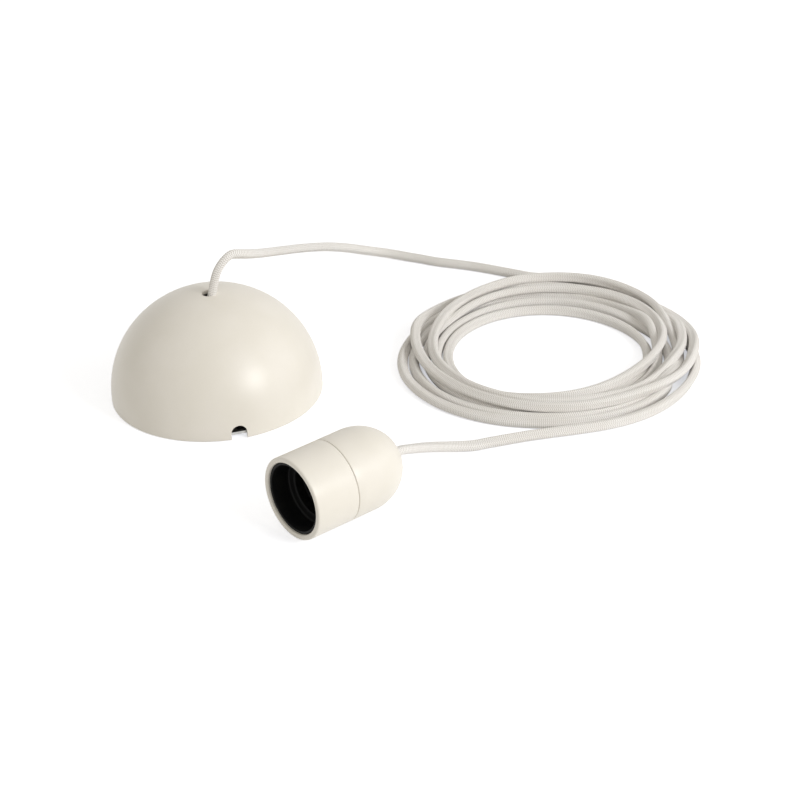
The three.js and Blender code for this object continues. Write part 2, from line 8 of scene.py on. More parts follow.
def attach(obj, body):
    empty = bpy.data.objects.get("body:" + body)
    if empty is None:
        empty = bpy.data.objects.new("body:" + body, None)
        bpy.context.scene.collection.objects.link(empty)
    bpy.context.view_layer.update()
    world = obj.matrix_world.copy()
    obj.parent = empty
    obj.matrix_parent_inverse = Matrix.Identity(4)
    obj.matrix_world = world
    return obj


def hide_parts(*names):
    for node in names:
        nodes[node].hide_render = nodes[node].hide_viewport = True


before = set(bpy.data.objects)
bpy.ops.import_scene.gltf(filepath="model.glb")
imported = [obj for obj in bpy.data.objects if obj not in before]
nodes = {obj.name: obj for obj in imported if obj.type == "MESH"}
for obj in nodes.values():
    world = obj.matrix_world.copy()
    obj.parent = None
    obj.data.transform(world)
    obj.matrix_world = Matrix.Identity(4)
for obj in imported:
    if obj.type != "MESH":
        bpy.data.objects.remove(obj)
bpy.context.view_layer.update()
scene = bpy.context.scene
mm = 0.001  # the settings below are in mm, apart from the studio's
print("frame loaded:", len(nodes), "nodes")


# Modelling helpers

def deselectAll():
    if bpy.context.mode != "OBJECT":
        bpy.ops.object.mode_set(mode="OBJECT")
    bpy.ops.object.select_all(action="DESELECT")


def activate(obj):
    deselectAll()
    obj.select_set(True)
    bpy.context.view_layer.objects.active = obj


def applyModifiers(obj):
    activate(obj)
    for modifier in list(obj.modifiers):
        bpy.ops.object.modifier_apply(modifier=modifier.name)


def smoothByAngle(obj, degrees=35):
    activate(obj)
    bpy.ops.object.shade_smooth_by_angle(angle=math.radians(degrees))


def mergeAndFaceOut(obj, distance=0.002 * mm):
    activate(obj)
    bpy.ops.object.mode_set(mode="EDIT")
    bpy.ops.mesh.select_all(action="SELECT")
    bpy.ops.mesh.remove_doubles(threshold=distance)
    bpy.ops.mesh.normals_make_consistent(inside=False)
    bpy.ops.object.mode_set(mode="OBJECT")


def meshPiece(name, points, faces=(), edges=()):
    mesh = bpy.data.meshes.new(name)
    mesh.from_pydata([tuple(p) for p in points], list(edges), list(faces))
    obj = bpy.data.objects.new(name, mesh)
    scene.collection.objects.link(obj)
    return obj


# A closed outline of (radius, height) pairs in mm, turned round an upright axis or one along X
def turnOutline(name, outline, place, steps, lying=False):
    x0, y0, z0 = place
    if lying:
        points = [(x0 + along, y0, z0 + radius) for radius, along in outline]
    else:
        points = [(x0 + radius, y0, z0 + along) for radius, along in outline]
    count = len(points)
    obj = meshPiece(name, [Vector(p) * mm for p in points],
                    edges=[(i, (i + 1) % count) for i in range(count)])
    activate(obj)
    bpy.ops.object.mode_set(mode="EDIT")
    bpy.ops.mesh.select_all(action="SELECT")
    bpy.ops.mesh.spin(steps=steps, angle=2 * math.pi, center=Vector(place) * mm,
                      axis=(1, 0, 0) if lying else (0, 0, 1))
    bpy.ops.object.mode_set(mode="OBJECT")
    mergeAndFaceOut(obj)
    return obj


def arcPoints(centreRadius, centreHeight, radius, height, fromDegrees, toDegrees, steps):
    turns = np.radians(np.linspace(fromDegrees, toDegrees, steps + 1))
    return [(centreRadius + radius * math.cos(a), centreHeight + height * math.sin(a)) for a in turns]


def ride(obj, *replaced, slot):
    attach(obj, "root")
    if replaced:
        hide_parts(*replaced)


# Node wiring: a socket that can be used in sums, and one method for every other node

class Sock:
    def __init__(self, wiring, out):
        self.wiring = wiring
        self.out = out

    def __add__(self, other):
        return self.wiring.calc("ADD", self, other)

    def __radd__(self, other):
        return self.wiring.calc("ADD", other, self)

    def __rsub__(self, other):
        return self.wiring.calc("SUBTRACT", other, self)

    def __mul__(self, other):
        return self.wiring.calc("MULTIPLY", self, other)

    def __rmul__(self, other):
        return self.wiring.calc("MULTIPLY", other, self)

    def __pow__(self, other):
        return self.wiring.calc("POWER", self, other)


class Wiring:
    def __init__(self, tree):
        self.tree = tree

    def node(self, kind, settings=None, inputs=None, output=0):
        made = self.tree.nodes.new(kind)
        for key, value in (settings or {}).items():
            setattr(made, key, value)
        for key, value in (inputs or {}).items():
            if isinstance(value, Sock):
                self.tree.links.new(value.out, made.inputs[key])
            elif value is not None:
                made.inputs[key].default_value = value
        return Sock(self, made.outputs[output])

    def calc(self, operation, *values):
        return self.node("ShaderNodeMath", {"operation": operation}, dict(enumerate(values)))

    def blend(self, factor, first, second):
        first, second = [(*colour, 1) if isinstance(colour, tuple) else colour for colour in (first, second)]
        return self.node("ShaderNodeMix", {"data_type": "RGBA"}, {0: factor, 6: first, 7: second}, output=2)


class Finish(Wiring):
    def __init__(self, name):
        self.material = bpy.data.materials.new(name)
        self.material.use_nodes = True
        super().__init__(self.material.node_tree)
        self.shader = self.tree.nodes["Principled BSDF"]
        self.objectCoords = self.node("ShaderNodeTexCoord", output="Object")

    def noise(self, scale, detail, roughness=0.5, vector=None):
        inputs = {"Vector": vector or self.objectCoords, "Scale": scale, "Detail": detail, "Roughness": roughness}
        return self.node("ShaderNodeTexNoise", {"normalize": True}, inputs)

    def stretched(self, scale):
        return self.node("ShaderNodeMapping", {}, {"Vector": self.objectCoords, "Scale": scale})

    def level(self, value, low, high):
        return self.node("ShaderNodeMapRange", {"interpolation_type": "SMOOTHSTEP"}, {0: value, 1: low, 2: high})

    def bump(self, height, strength, distance, normal=None):
        inputs = {"Height": height, "Strength": strength, "Distance": distance, "Normal": normal}
        return self.node("ShaderNodeBump", {}, inputs)

    def feed(self, values):
        for key, value in values.items():
            if isinstance(value, Sock):
                self.tree.links.new(value.out, self.shader.inputs[key])
            else:
                self.shader.inputs[key].default_value = value
        return self.material


def dress(obj, material):
    if obj.material_slots:
        for materialSlot in obj.material_slots:
            materialSlot.material = material
    else:
        obj.data.materials.append(material)


# Camera, at the photograph's angle

view = {
    "target": (70.6, -21.6, 0.0),
    "distance": 1684.8,
    "elevation": 28.6345,
    "heading": 38.15,  # degrees from +Y towards +X, the way the camera looks
    "roll": 3.0933,
    "lens": 135.0,
    "sensor": 36.0,
    "clip": (0.05, 20.0),  # metres
}


def addCamera():
    heading, elevation, roll = (math.radians(view[key]) for key in ("heading", "elevation", "roll"))
    ahead = Vector((math.sin(heading) * math.cos(elevation), math.cos(heading) * math.cos(elevation),
                    -math.sin(elevation)))
    level = Vector((math.cos(heading), -math.sin(heading), 0))
    upright = level.cross(ahead)
    right = level * math.cos(roll) - upright * math.sin(roll)
    up = level * math.sin(roll) + upright * math.cos(roll)
    data = bpy.data.cameras.new("camera")
    data.lens = view["lens"]
    data.sensor_width = view["sensor"]
    data.clip_start, data.clip_end = view["clip"]
    camera = bpy.data.objects.new("camera", data)
    scene.collection.objects.link(camera)
    turn = Matrix((right, up, -ahead)).transposed().to_4x4()
    camera.matrix_world = Matrix.Translation((Vector(view["target"]) - ahead * view["distance"]) * mm) @ turn
    scene.camera = camera


addCamera()
print("camera set")


# Textile cord: from the clamp in the canopy, through the coil, to the clamp in the lampholder

cord = {
    "diameter": 5.5,
    "exit": (3.8, 60.5, 62.0),
    "sides": 24,
    "step": 1.5,
    "curvePoints": 4,  # between two points of the route
    "firstSide": (0.3, 1.0, 0.1),
    "pressed": 0.02,  # mm above the table at which its underside is flat
    "flatness": 0.36,  # the two wires inside make it a little wider than high
    "waist": 0.22,  # and leave a shallow waist along each flat side
    "twistStart": 60.0,  # degrees, the way the wide side faces up to the coil
    "twistFrom": 380.0,  # mm along the cord, where it reaches the coil
    "twistLength": 260.0,  # mm for half a turn of the wires from there on
    "weave": (16, 16),  # columns of stitches round the cord, and rows of them in one girth's length
    "stitchSlant": 0.5,  # rows by which a stitch climbs across its column
}

canopyLead = [
    (3.8, 60.5, 40.9), (3.8, 60.5, 45), (3.8, 60.4, 50), (4.1, 59.8, 56.5), (4.8, 58.6, 62.6), (5.6, 57.5, 68.3),
    (6.8, 56.7, 73.3), (9.1, 56.2, 77.5), (12.6, 55.8, 80.6), (16.9, 55.8, 82.6), (22.2, 55.2, 81.5),
    (29.6, 56.5, 78.5), (39.8, 60.5, 74), (53, 67.7, 67.8), (69.7, 77.6, 59.7), (89.7, 90.6, 49.5),
    (111.7, 104.8, 37.9), (132, 117, 27), (150.9, 124.5, 17.2), (167.1, 126.5, 9.2), (180.3, 121.4, 4.4),
    (188.9, 109.2, 2.8), (196.0, 93.2, 2.8), (203.8, 79.6, 2.8), (210.7, 65.5, 2.9),
]
holderLead = [
    (149.7, -133.4, 2.8), (136.5, -130.2, 2.8), (125.9, -124.4, 2.8), (116.7, -117.2, 2.8),
    (106.9, -110.2, 2.8), (95.7, -104.7, 2.8), (83.3, -100.6, 2.8), (71, -96.8, 2.8), (62.6, -93.8, 3.1),
    (54.3, -91.2, 4.9), (45.6, -90.3, 7.8), (35.9, -91.3, 11.9), (25.8, -93.8, 16.4), (16.8, -96.2, 20.3),
    (10.3, -97.2, 22.6), (4.6, -97.5, 23), (-2, -97.5, 23), (-7, -97.5, 23), (-12, -97.5, 23),
]

# Each turn of the coil before it settles, clockwise from its far side: (radius, height) of the cord's middle
coil = {
    "middle": (161.2, -46.6),
    "farSide": 38.15,  # degrees from +Y towards +X
    "stationStep": 45,  # degrees
    "turns": [
        [(98, 2.75), (86, 3.5), (82.5, 7.5), (74.5, 9.5), (67, 11), (65.5, 8.5), (72, 9.5), (90.5, 5)],
        [(91, 2.75), (80, 4), (76.5, 7), (67, 10), (64, 10), (59.5, 8), (65, 8), (76, 8)],
        [(95, 8), (84, 8.5), (71, 4), (76, 5.5), (70, 3), (73.5, 2.75), (78, 2.75), (77, 2.75)],
        [(79.5, 2.75), (70.5, 5.5), (60.5, 5.5), (63, 2.75), (64, 2.75), (66.5, 2.75), (70, 2.75), (76, 7)],
        [(78.5, 8), (75, 8), (63.5, 8.3), (52.5, 9), (57.5, 8.2), (56, 4), (57, 2.75), (62.5, 2.75)],
        [(60, 2.75), (54.5, 2.75), (57, 2.75), (56, 2.75), (57.5, 2.75), (61, 2.75), (63.5, 2.75), (68, 2.75)],
        [(72.5, 2.75), (63.5, 2.75), (67, 2.75), (78, 2.75), (76.5, 2.75), (79, 2.75), (85, 2.75), (81, 2.75)],
        [(84.5, 2.75), (75, 2.75), (82.5, 2.75), (86.5, 2.75)],
    ],
    "pointsPerStation": 6,
}

settling = {
    "looseWithin": 103.0,  # mm from the coil's middle
    "looseBelow": 20.0,
    "spacing": 4.0,
    "steps": 400,
    "sink": 0.02,  # mm in each step
    "hold": 0.02,  # share of the way back to the planned place in each step
    "stiffness": 0.25,
    "push": 0.35,  # share of an overlap that one push takes away
    "pushesInStep": 2,
    "neighbours": 2.2,  # diameters along the cord in which it can't meet itself
    "nearAtStart": 25.0,
    "easeBefore": 8,
    "easeRounds": 6,
    "easeInRound": 3,
    "pushesInRound": 8,
    "easeAfter": 2,
}


def curveThrough(points, between):
    rows = np.array(points, float)
    padded = np.vstack([2 * rows[0] - rows[1], rows, 2 * rows[-1] - rows[-2]])
    made = []
    for i in range(1, len(padded) - 2):
        a, b, c, d = padded[i - 1:i + 3]
        for k in range(between):
            t = k / between
            made.append(0.5 * (2 * b + (c - a) * t + (2 * a - 5 * b + 4 * c - d) * t ** 2
                               + (3 * b - a - 3 * c + d) * t ** 3))
    made.append(padded[-2])
    return np.array(made)


def spacedAlong(line, step):
    along = np.concatenate([[0], np.cumsum(np.linalg.norm(np.diff(line, axis=0), axis=1))])
    at = np.linspace(0, along[-1], int(round(along[-1] / step)) + 1)
    return np.stack([np.interp(at, along, line[:, k]) for k in range(3)], axis=1)


def coilTurns():
    stations = curveThrough([station for turn in coil["turns"] for station in turn], coil["pointsPerStation"])
    step = coil["stationStep"] / coil["pointsPerStation"]
    turned = math.radians(coil["farSide"]) + np.radians(step) * np.arange(len(stations))
    x = coil["middle"][0] + stations[:, 0] * np.sin(turned)
    y = coil["middle"][1] + stations[:, 0] * np.cos(turned)
    return np.column_stack([x, y, stations[:, 1]])[1:]


def pushApart(line, weight, first, second):
    diameter, count, tiny = cord["diameter"], len(line), 1e-6
    apart = line[first] - line[second]
    distance = np.linalg.norm(apart, axis=1)
    close = distance < diameter
    a, b = first[close], second[close]
    overlap = (diameter - distance[close]) / np.maximum(distance[close], tiny)
    push = settling["push"] * overlap[:, None] * apart[close]
    share = np.maximum(weight[a] + weight[b], tiny)
    touches = np.maximum(np.bincount(a, minlength=count) + np.bincount(b, minlength=count), 1)
    moved = np.zeros_like(line)
    np.add.at(moved, a, push * (2 * weight[a] / share)[:, None])
    np.add.at(moved, b, -push * (2 * weight[b] / share)[:, None])
    line = line + moved / np.sqrt(touches)[:, None]
    line[:, 2] = np.maximum(line[:, 2], diameter / 2)
    return line


# Evens out the cord's height and its distance from the coil's middle, which keeps the size of the turns
def eased(line, weight, rounds):
    middle = np.array(coil["middle"])
    away = line[:, :2] - middle
    reach = np.linalg.norm(away, axis=1)
    facing = away / reach[:, None]
    values = np.column_stack([reach, line[:, 2]])
    for _ in range(rounds):
        mean = values.copy()
        mean[2:-2] = (values[:-4] + 4 * values[1:-3] + 6 * values[2:-2] + 4 * values[3:-1] + values[4:]) / 16
        values = values + (mean - values) * weight[:, None]
    return np.column_stack([middle + facing * values[:, :1], values[:, 1]])


# The turns sink under their weight and push each other apart until they lie on each other and on the table
def settle(line, loose):
    plan, line = line.copy(), line.copy()
    weight = loose.astype(float)
    apartAlong = math.ceil(settling["neighbours"] * cord["diameter"] / settling["spacing"])
    first, second = np.triu_indices(len(line), apartAlong)
    near = np.linalg.norm(line[first] - line[second], axis=1) < settling["nearAtStart"]
    first, second = first[near], second[near]
    planBend = np.zeros_like(plan)
    planBend[1:-1] = (plan[:-2] + plan[2:]) / 2 - plan[1:-1]
    planBend[:, 2] = 0
    for _ in range(settling["steps"]):
        line[:, 2] -= settling["sink"] * weight
        line[:, :2] += settling["hold"] * (plan[:, :2] - line[:, :2]) * weight[:, None]
        bend = np.zeros_like(line)
        bend[1:-1] = (line[:-2] + line[2:]) / 2 - line[1:-1]
        line += settling["stiffness"] * (bend - planBend) * weight[:, None]
        for _ in range(settling["pushesInStep"]):
            line = pushApart(line, weight, first, second)
    for _ in range(settling["easeRounds"]):
        line = eased(line, weight, settling["easeInRound"])
        for _ in range(settling["pushesInRound"]):
            line = pushApart(line, weight, first, second)
    return eased(line, weight, settling["easeAfter"])


def cordRoute():
    route = curveThrough(np.vstack([canopyLead, coilTurns(), holderLead]), cord["curvePoints"])
    route = spacedAlong(route, settling["spacing"])
    away = np.hypot(route[:, 0] - coil["middle"][0], route[:, 1] - coil["middle"][1])
    loose = (away < settling["looseWithin"]) & (route[:, 2] < settling["looseBelow"])
    route = eased(route, loose.astype(float), settling["easeBefore"])
    return spacedAlong(curveThrough(settle(route, loose), cord["curvePoints"]), cord["step"])


def cordTube(name, route):
    radius, sides = cord["diameter"] / 2, cord["sides"]
    ahead = np.gradient(route, axis=0)
    ahead /= np.linalg.norm(ahead, axis=1)[:, None]
    side = np.cross(ahead[0], cord["firstSide"])
    side /= np.linalg.norm(side)
    frames = []
    for direction in ahead:  # carried along, so that the braid doesn't twist
        side = side - direction * side.dot(direction)
        side /= np.linalg.norm(side)
        frames.append((side, np.cross(direction, side)))
    turns = np.arange(sides) / sides * 2 * math.pi
    rings = []
    for i, (u, v) in enumerate(frames):
        twisted = max(0.0, i * cord["step"] - cord["twistFrom"]) / cord["twistLength"] * math.pi
        wide = turns - math.radians(cord["twistStart"]) - twisted
        reach = (radius + cord["flatness"] * np.cos(2 * wide) - cord["waist"] * np.cos(4 * wide))[:, None]
        rings.append(route[i] + reach * (np.cos(turns)[:, None] * u + np.sin(turns)[:, None] * v))
    points = np.vstack(rings) * mm
    points[:, 2] = np.maximum(points[:, 2], cord["pressed"] * mm)
    faces = []
    for i in range(len(route) - 1):
        for j in range(sides):
            k = (j + 1) % sides
            faces.append((i * sides + j, i * sides + k, (i + 1) * sides + k, (i + 1) * sides + j))
    last = (len(route) - 1) * sides
    faces += [tuple(range(sides))[::-1], tuple(range(last, last + sides))]
    obj = meshPiece(name, points, faces)
    uv = obj.data.uv_layers.new(name="braid")
    along = np.arange(len(route)) * np.linalg.norm(route[1] - route[0]) / (2 * math.pi * radius)
    grid = []
    for i in range(len(route) - 1):
        for j in range(sides):
            grid += [(j / sides, along[i]), ((j + 1) / sides, along[i]), ((j + 1) / sides, along[i + 1]),
                     (j / sides, along[i + 1])]
    grid += [(0.5, 0.0)] * (2 * sides)
    uv.data.foreach_set("uv", np.array(grid, np.float32).ravel())
    obj.data.polygons.foreach_set("use_smooth", [True] * len(faces))
    return obj


route = cordRoute()
cordPiece = cordTube("textile_cord", route)
ride(cordPiece, "cord_lead_canopy", "cord_lead_holder", "cord_coil", slot="textile_cord")


# Canopy dome

dome = {
    "place": (3.8, 60.5, 0.0),
    "radius": 60.0,
    "height": 62.0,
    "skirt": 3.4,
    "wall": 2.5,
    "holeRadius": 4.0,
    "rimRound": 0.6,
    "holeRound": 0.5,
    "holeRoundMiddles": (1.15, 0.85),  # below the outer face and above the inner one, in rounds
    "holeRoundEnds": (100, 262),  # degrees
    "roundSteps": 4,
    "outerSteps": 46,
    "innerSteps": 26,
    "steps": 144,
    "notch": {
        "width": 9.0,
        "height": 8.3,
        "turn": -24.65,  # degrees from -Y
        "steps": 24,
        "cutBelow": 2.0,  # how far the cutter reaches past the rim, the wall's inside and its outside
        "cutInside": 4.0,
        "cutOutside": 2.0,
    },
}


def addDome():
    radius, height, skirt, wall = dome["radius"], dome["height"], dome["skirt"], dome["wall"]
    hole, rim, lip = dome["holeRadius"], dome["rimRound"], dome["holeRound"]
    outerEnd = math.degrees(math.acos((hole + lip) / radius))
    innerEnd = math.degrees(math.acos((hole + lip) / (radius - wall)))
    steps = dome["roundSteps"]
    (below, above), (outerTurn, innerTurn) = dome["holeRoundMiddles"], dome["holeRoundEnds"]
    outline = arcPoints(radius - rim, rim, rim, rim, -90, 0, steps)
    outline += arcPoints(0, skirt, radius, height - skirt, 0, outerEnd, dome["outerSteps"])
    outline += arcPoints(hole + lip, height - lip * below, lip, lip, outerTurn, 180, steps)
    outline += arcPoints(hole + lip, height - wall + lip * above, lip, lip, 180, innerTurn, steps)
    outline += arcPoints(0, skirt, radius - wall, height - wall - skirt, innerEnd, 0, dome["innerSteps"])
    outline += arcPoints(radius - wall + rim, rim, rim, rim, 180, 270, steps)
    return turnOutline("canopy_dome", outline, dome["place"], dome["steps"])


def cutNotch(obj):
    notch = dome["notch"]
    half, rise, below = notch["width"] / 2, notch["height"], -notch["cutBelow"]
    arch = [(-half * math.cos(a), rise - half + half * math.sin(a))
            for a in np.linspace(0, math.pi, notch["steps"] + 1)]
    outline = [(-half, below), *arch, (half, below)]
    turn = math.radians(notch["turn"])
    inner, outer = dome["radius"] - dome["wall"] - notch["cutInside"], dome["radius"] + notch["cutOutside"]
    points = []
    for reach in (inner, outer):
        for across, up in outline:
            x = across * math.cos(turn) + reach * math.sin(turn)
            y = across * math.sin(turn) - reach * math.cos(turn)
            points.append(((dome["place"][0] + x) * mm, (dome["place"][1] + y) * mm, up * mm))
    count = len(outline)
    faces = [tuple(range(count)), tuple(range(count, 2 * count))[::-1]]
    faces += [(i, i + count, (i + 1) % count + count, (i + 1) % count) for i in range(count)]
    cutter = meshPiece("notch_cutter", points, faces)
    mergeAndFaceOut(cutter)
    boolean = obj.modifiers.new("notch", "BOOLEAN")
    boolean.operation = "DIFFERENCE"
    boolean.solver = "EXACT"
    boolean.object = cutter
    applyModifiers(obj)
    bpy.data.objects.remove(cutter)


domePiece = addDome()
cutNotch(domePiece)
smoothByAngle(domePiece)
ride(domePiece, "canopy_shell", slot="cream_plastic")
print("dome made:", len(domePiece.data.polygons), "faces")


# Lampholder sleeve, cap and black insert, round an axis along +X from the mouth

holder = {
    "place": (-63.8, -97.5, 23.0),
    "radius": 23.0,
    "length": 68.4,
    "wall": 3.0,
    "seam": 26.8,
    "seamGap": 0.28,
    "seamRound": 0.5,
    "mouthRound": 1.1,
    "mouthInnerRound": 0.8,  # of the outer one
    "mouthSteps": (5, 6),  # of the inner round and the outer one
    "seamSteps": 3,
    "sleeveRows": (7.0, 14.0, 21.0),  # rings of points along the straight walls, from the mouth
    "boreRows": (18.0, 9.0),
    "capRows": (5, 11),  # from the seam
    "capStraight": 16.7,
    "capOuterSteps": 30,
    "capInnerSteps": 16,
    "cordHole": 3.5,
    "cordHoleRound": 0.6,
    "cordHoleRoundMiddles": (1.3, 0.7),  # below the outer face and above the inner one, in rounds
    "cordHoleSteps": (4, 3),
    "steps": 128,
}

insert = {
    "front": 1.2,
    "frontRound": 0.4,
    "frontSteps": 3,
    "outside": 19.85,
    "wall": 1.5,
    "end": 33.0,
    "neckRow": 7.0,
    "shoulder": 12.7,
    "shoulderThickness": 2.5,
    "shoulderRound": 1.2,
    "behindShoulderRow": 4,
    "boreRadius": 13.6,
    "boreRound": 1.0,
    "boreRow": 3.0,
    "boreWall": 1.8,
    "boreEnd": 36.7,
    "roundSteps": 4,
}

thread = {
    "pitch": 3.62,
    "depth": 0.85,
    "root": 0.35,  # outside the bore's wall
    "outside": 0.9,
    "fromShoulder": 3.0,
    "beforeEnd": 0.2,
    "fade": 1.5,
    "sides": 72,
    "rows": 56,
}


def addSleeve():
    radius, bore, seam = holder["radius"], holder["radius"] - holder["wall"], holder["seam"]
    lip, groove = holder["mouthRound"], holder["seamRound"]
    inner, (innerSteps, outerSteps) = lip * holder["mouthInnerRound"], holder["mouthSteps"]
    outline = [(bore, seam)] + [(bore, z) for z in holder["boreRows"]]
    outline += arcPoints(bore + inner, inner, inner, inner, 180, 270, innerSteps)
    outline += arcPoints(radius - lip, lip, lip, lip, 270, 360, outerSteps)
    outline += [(radius, z) for z in holder["sleeveRows"]]
    outline += arcPoints(radius - groove, seam - groove, groove, groove, 0, 90, holder["seamSteps"])
    return turnOutline("sleeve", outline, holder["place"], holder["steps"], lying=True)


def addCap():
    radius, wall, length = holder["radius"], holder["wall"], holder["length"]
    start, groove, hole = holder["seam"] + holder["seamGap"], holder["seamRound"], holder["cordHole"]
    bend = start + holder["capStraight"]
    lip = holder["cordHoleRound"]
    (below, above), (outerSteps, innerSteps) = holder["cordHoleRoundMiddles"], holder["cordHoleSteps"]
    outerEnd = math.degrees(math.acos((hole + lip) / radius))
    innerEnd = math.degrees(math.acos((hole + lip) / (radius - wall)))
    outline = arcPoints(radius - groove, start + groove, groove, groove, -90, 0, holder["seamSteps"])
    outline += [(radius, start + z) for z in holder["capRows"]]
    outline += arcPoints(0, bend, radius, length - bend, 0, outerEnd, holder["capOuterSteps"])
    outline += arcPoints(hole + lip, length - lip * below, lip, lip, 90, 180, outerSteps)
    outline += arcPoints(hole + lip, length - wall + lip * above, lip, lip, 180, 270, innerSteps)
    outline += arcPoints(0, bend, radius - wall, length - wall - bend, innerEnd, 0, holder["capInnerSteps"])
    outline += [(radius - wall, start)]
    return turnOutline("cap", outline, holder["place"], holder["steps"], lying=True)


def addInsert():
    outside, wall, front = insert["outside"], insert["wall"], insert["front"]
    neck, bore, outerBore = outside - wall, insert["boreRadius"], insert["boreRadius"] + insert["boreWall"]
    shoulder, back = insert["shoulder"], insert["shoulder"] + insert["shoulderThickness"]
    edge, mouth, corner = insert["frontRound"], insert["boreRound"], insert["shoulderRound"]
    frontSteps, steps = insert["frontSteps"], insert["roundSteps"]
    outline = arcPoints(neck + edge, front + edge, edge, edge, 180, 270, frontSteps)
    outline += arcPoints(outside - edge, front + edge, edge, edge, 270, 360, frontSteps)
    outline += [(outside, insert["end"]), (neck, insert["end"])]
    outline += [(neck, back + insert["behindShoulderRow"]), (neck, back)]
    outline += [(outerBore, back), (outerBore, insert["boreEnd"]), (bore, insert["boreEnd"])]
    outline += [(bore, shoulder + insert["boreRow"])]
    outline += arcPoints(bore + mouth, shoulder + mouth, mouth, mouth, 180, 270, steps)
    outline += arcPoints(neck - corner, shoulder - corner, corner, corner, 90, 0, steps)
    outline += [(neck, insert["neckRow"])]
    return turnOutline("insert", outline, holder["place"], holder["steps"], lying=True)


# The rolled lamp thread, a closed ring in the bore's wall whose inner face winds
def addThread():
    x0, y0, z0 = holder["place"]
    bore, sides, rows = insert["boreRadius"], thread["sides"], thread["rows"]
    start, end = insert["shoulder"] + thread["fromShoulder"], insert["boreEnd"] - thread["beforeEnd"]
    rings = rows + 3  # rows + 1 for the winding face, then one at each end of the outside
    points, faces = [], []
    for i in range(rings):
        along = start + (end - start) * min(i, rows) / rows if i < rings - 1 else start
        fade = max(min(1.0, (along - start) / thread["fade"], (end - along) / thread["fade"]), 0.0)
        for j in range(sides):
            turn = 2 * math.pi * j / sides
            wave = 0.5 + 0.5 * math.cos(2 * math.pi * along / thread["pitch"] - turn)
            reach = bore + (thread["root"] - thread["depth"] * wave * fade if i <= rows else thread["outside"])
            points.append(Vector((x0 + along, y0 + reach * math.sin(turn), z0 + reach * math.cos(turn))) * mm)
    for i in range(rings):
        near, far = i * sides, (i + 1) % rings * sides
        for j in range(sides):
            k = (j + 1) % sides
            faces.append((near + j, near + k, far + k, far + j))
    obj = meshPiece("lamp_thread", points, faces)
    mergeAndFaceOut(obj)
    return obj


sleevePiece, capPiece, insertPiece, threadPiece = addSleeve(), addCap(), addInsert(), addThread()
for piece in (sleevePiece, capPiece, insertPiece, threadPiece):
    smoothByAngle(piece)
ride(sleevePiece, "holder_sleeve", slot="cream_plastic")
ride(capPiece, "holder_cap", slot="cream_plastic")
ride(insertPiece, "lamp_insert", slot="black_plastic")
ride(threadPiece, slot="black_plastic")
print("lampholder made")


# Finishes

creamLook = {
    "mottle": (26, 4, 0.55),  # a noise's scale, detail and roughness
    "fine": (900, 2),
    "ripple": (70, 2),
    "span": (0.3, 0.7),
    "colours": ((0.81, 0.775, 0.705), (0.845, 0.81, 0.75)),
    "roughness": (0.30, 0.10, 0.05),  # plain, and the shares of the mottle and the fine noise
    "fineBump": (0.05, 0.00004),  # strength and distance
    "rippleBump": (0.04, 0.0006),
    "shine": 0.5,
}


def creamPlastic(name):
    f = Finish(name)
    mottle, fine, ripple = (f.noise(*creamLook[key]) for key in ("mottle", "fine", "ripple"))
    plain, byMottle, byFine = creamLook["roughness"]
    return f.feed({
        "Base Color": f.blend(f.level(mottle, *creamLook["span"]), *creamLook["colours"]),
        "Roughness": plain + mottle * byMottle + fine * byFine,
        "Normal": f.bump(fine, *creamLook["fineBump"], f.bump(ripple, *creamLook["rippleBump"])),
        "Specular IOR Level": creamLook["shine"],
    })


braidLook = {
    "fibre": (5200, 2),
    "wash": (40, 3),
    "washSpan": (0.3, 0.7),
    "colours": ((0.905, 0.885, 0.86), (0.935, 0.92, 0.905)),
    "between": (0.43, 0.39, 0.34),  # painted shade: the darker colour between the stitches, where they shade each other
    "paintedShadeShare": 0.7,
    "stitchSpan": (0.15, 0.75),
    "stitchPower": 0.7,
    "columnDepth": 0.5,
    "columnPower": 0.5,
    "fibreHeight": 0.25,
    "roughness": (0.78, 0.15),
    "bump": (0.8, 0.00025),
    "sheen": (0.3, 0.5),
}


def textileBraid(name):
    f = Finish(name)
    uv = f.node("ShaderNodeUVMap", {"uv_map": "braid"})
    around, along = (f.node("ShaderNodeSeparateXYZ", {}, {0: uv}, output=axis) for axis in (0, 1))
    columns, rows = (float(count) for count in cord["weave"])

    def ridge(value):  # 0 at whole numbers and 1 halfway between them
        return f.calc("ABSOLUTE", f.calc("SINE", value * math.pi))

    slant = f.calc("PINGPONG", around * columns, 1.0)
    stitch = ridge(along * rows + slant * cord["stitchSlant"]) ** braidLook["stitchPower"]
    depth = braidLook["columnDepth"]
    yarn = stitch * ((1.0 - depth) + depth * ridge(around * columns) ** braidLook["columnPower"])
    fibre, wash = f.noise(*braidLook["fibre"]), f.noise(*braidLook["wash"])
    share = braidLook["paintedShadeShare"]
    # Painted shade: the share of the dark colour, which rises between the stitches where they shade each other
    between = share - share * f.level(yarn, *braidLook["stitchSpan"])
    base = f.blend(f.level(wash, *braidLook["washSpan"]), *braidLook["colours"])
    plain, byFibre = braidLook["roughness"]
    sheen, sheenRoughness = braidLook["sheen"]
    return f.feed({
        "Base Color": f.blend(between, base, braidLook["between"]),
        "Roughness": plain + fibre * byFibre,
        "Normal": f.bump(yarn + fibre * braidLook["fibreHeight"], *braidLook["bump"]),
        "Sheen Weight": sheen,
        "Sheen Roughness": sheenRoughness,
    })


zincLook = {
    "drawn": (1.0, 4),
    "drawnStretch": (40, 900, 900),
    "cloud": (150, 5),
    "span": (0.3, 0.7),
    "light": (0.60, 0.60, 0.58),
    "dark": 0.86,  # of the light colour
    "roughness": (0.26, 0.16, 0.08),  # plain, and the shares of the cloud and the drawn noise
    "bump": (0.08, 0.00005),
}


